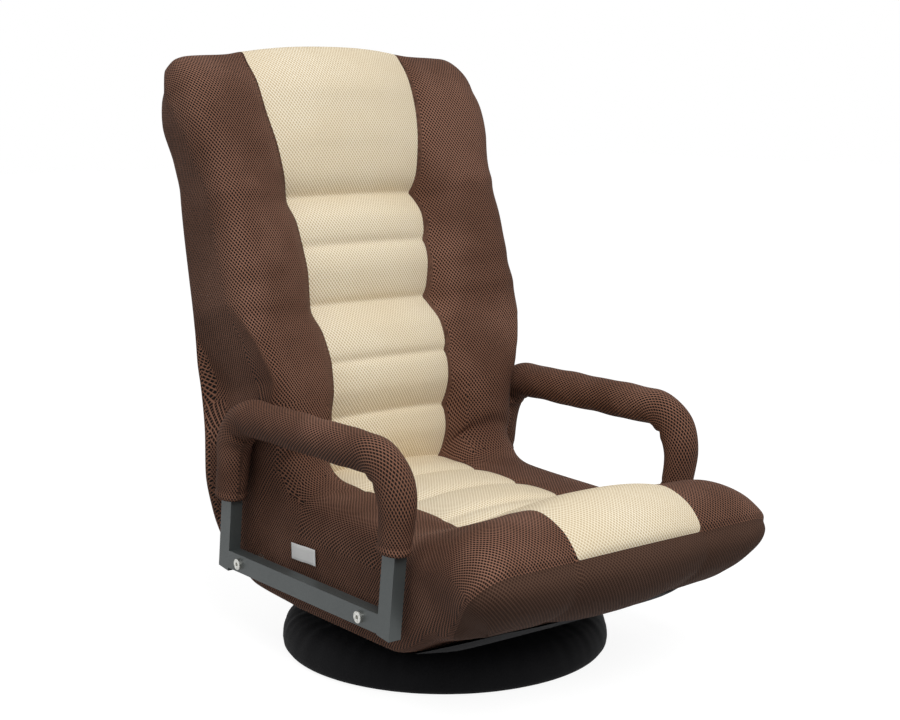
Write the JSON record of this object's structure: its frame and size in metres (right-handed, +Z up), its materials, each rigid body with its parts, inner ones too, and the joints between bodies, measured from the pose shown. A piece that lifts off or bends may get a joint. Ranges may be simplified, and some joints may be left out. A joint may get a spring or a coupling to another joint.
{
  "type": "floor chair",
  "caption": "Legless padded floor chair with a channelled back that reclines on ratchet hinges, sleeved loop arms and a low round swivel base.",
  "frame": {"origin": "on the floor, on the swivel axis, in the middle of the base's flat underside", "axes": "+Z up, -Y the way the sitter faces, +X to the sitter's left"},
  "size_m": [0.519, 0.7326, 0.8005],
  "materials": {
    "brown_fabric": "open spacer mesh",
    "cream_fabric": "open spacer mesh",
    "black_cloth": "matt non-woven cloth",
    "grey_paint": "satin powder coat",
    "zinc": "bright zinc plate",
    "label_cloth": "blank woven label",
    "webbing": "elastic webbing",
    "black_steel": "black paint",
    "cage_plastic": "moulded"
  },
  "bodies": {
    "base": {"base_ring": "black_steel", "base_bars": "black_steel", "base_pedestal": "black_steel", "base_cover": "black_cloth", "swivel_lower_plate": "black_steel", "swivel_balls": "zinc", "swivel_cage": "cage_plastic", "swivel_pivot": "zinc", "swivel_screws": "zinc"},
    "seat": {"swivel_upper_plate": "black_steel", "swivel_bearers": "black_steel", "seat_front_tube": "black_steel", "seat_rear_tube": "black_steel", "seat_straps": "webbing", "seat_cushion": "brown_fabric", "seat_centre_panel": "cream_fabric", "seat_dust_cover": "black_cloth", "side_tag": "label_cloth", "seat_rail_left": "black_steel", "arm_frame_left": "grey_paint", "arm_pad_left": "brown_fabric", "arm_bolts_left": "zinc", "arm_spacers_left": "zinc", "arm_nuts_left": "zinc", "hinge_plate_left": "black_steel", "hinge_pin_left": "zinc", "pawl_pin_left": "zinc", "pawl_spring_left": "zinc", "seat_rail_right": "black_steel", "arm_frame_right": "grey_paint", "arm_pad_right": "brown_fabric", "arm_bolts_right": "zinc", "arm_spacers_right": "zinc", "arm_nuts_right": "zinc", "hinge_plate_right": "black_steel", "hinge_pin_right": "zinc", "pawl_pin_right": "zinc", "pawl_spring_right": "zinc"},
    "back": {"back_frame": "black_steel", "back_straps": "webbing", "back_cushion": "brown_fabric", "back_centre_panel": "cream_fabric", "back_rear_cover": "black_cloth", "hinge_arm_left": "black_steel", "hinge_arm_right": "black_steel"},
    "pawl_left": {"ratchet_pawl_left": "black_steel"},
    "pawl_right": {"ratchet_pawl_right": "black_steel"}
  },
  "joints": [
    {"name": "seat_swivel", "type": "hinge", "parent": "base", "child": "seat", "pos_m": [0, 0, 0], "axis": [0, 0, 1], "continuous": true},
    {"name": "back_recline", "type": "hinge", "parent": "seat", "child": "back", "pos_m": [0, 0.165, 0.1297], "axis": [-1, 0, 0], "range_deg": [-15, 75]},
    {"name": "pawl_lift_left", "type": "hinge", "parent": "seat", "child": "pawl_left", "pos_m": [0, 0.134, 0.0847], "axis": [1, 0, 0], "range_deg": [0, 10], "stiffness_Nm_per_rad": 0.05, "springref_deg": -11.46},
    {"name": "pawl_lift_right", "type": "hinge", "parent": "seat", "child": "pawl_right", "pos_m": [0, 0.134, 0.0847], "axis": [1, 0, 0], "range_deg": [0, 10], "stiffness_Nm_per_rad": 0.05, "springref_deg": -11.46}
  ]
}
